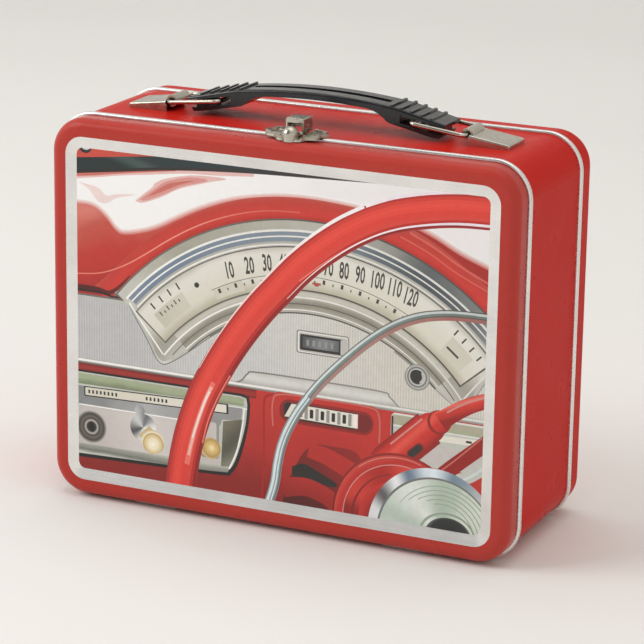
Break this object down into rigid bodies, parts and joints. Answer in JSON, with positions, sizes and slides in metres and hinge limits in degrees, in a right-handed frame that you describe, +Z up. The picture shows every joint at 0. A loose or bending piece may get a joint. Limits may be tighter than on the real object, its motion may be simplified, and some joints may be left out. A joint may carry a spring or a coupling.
{
  "type": "metal lunch box",
  "caption": "Enamelled sheet-metal lunch box with a bordered picture panel on a bottom-hinged front lid, rolled seams, a rising arched handle on wire links and a hooded latch.",
  "frame": {"origin": "centre of the whole box's bounding box in X and Y, at the height the rim beads stand on", "axes": "+Z up through the handle, the lid and its picture face -Y, +X to the right seen from the front"},
  "size_m": [0.2026, 0.081, 0.1723],
  "materials": {
    "red_enamel": "semi-gloss red enamel on pressed steel",
    "bare_tin": "bare tin-plated steel, lightly worn",
    "printed_panel": "glossy lithographed print on steel",
    "nickel": "bright nickel plate, slightly warm",
    "black_plastic": "satin black moulded plastic"
  },
  "bodies": {
    "box": {"body_band": "red_enamel", "front_rim_bead": "bare_tin", "back_rim_bead": "bare_tin", "back_shell": "red_enamel", "hinge_left_fixed_leaf": "bare_tin", "hinge_right_fixed_leaf": "bare_tin", "hinge_left_pin": "nickel", "hinge_right_pin": "nickel", "handle_clip_left": "nickel", "handle_clip_right": "nickel", "latch_base": "nickel", "latch_pin": "nickel"},
    "lid": {"front_shell": "red_enamel", "panel_border": "bare_tin", "picture_panel": "printed_panel", "keeper_plate": "nickel", "keeper_dome": "nickel", "hinge_left_lid_leaf": "bare_tin", "hinge_right_lid_leaf": "bare_tin"},
    "latch": {"latch_hood": "nickel"},
    "handle": {"handle_grip": "black_plastic"},
    "left_link": {"wire_link_left": "nickel"},
    "right_link": {"wire_link_right": "nickel"}
  },
  "joints": [
    {"name": "lid_hinge", "type": "hinge", "parent": "box", "child": "lid", "pos_m": [0, -0.0295, 0.00125], "axis": [1, 0, 0], "range_deg": [0, 110]},
    {"name": "latch_swing", "type": "hinge", "parent": "box", "child": "latch", "pos_m": [0.003, -0.026, 0.1629], "axis": [-1, 0, 0], "range_deg": [0, 75]},
    {"name": "handle_lift", "type": "slide", "parent": "box", "child": "handle", "axis": [0, 0, 1], "range_m": [0, 0.012]},
    {"name": "left_link_swing", "type": "hinge", "parent": "box", "child": "left_link", "pos_m": [-0.0625, -0.002, 0.1623], "axis": [0, 1, 0], "range_deg": [-31, 0]},
    {"name": "right_link_swing", "type": "hinge", "parent": "box", "child": "right_link", "pos_m": [0.0655, -0.002, 0.1623], "axis": [0, 1, 0], "range_deg": [0, 31]}
  ],
  "couplings": [
    {"joint": "left_link_swing", "follows": "handle_lift", "rad_per_m": -44.6},
    {"joint": "right_link_swing", "follows": "handle_lift", "rad_per_m": 44.6}
  ]
}
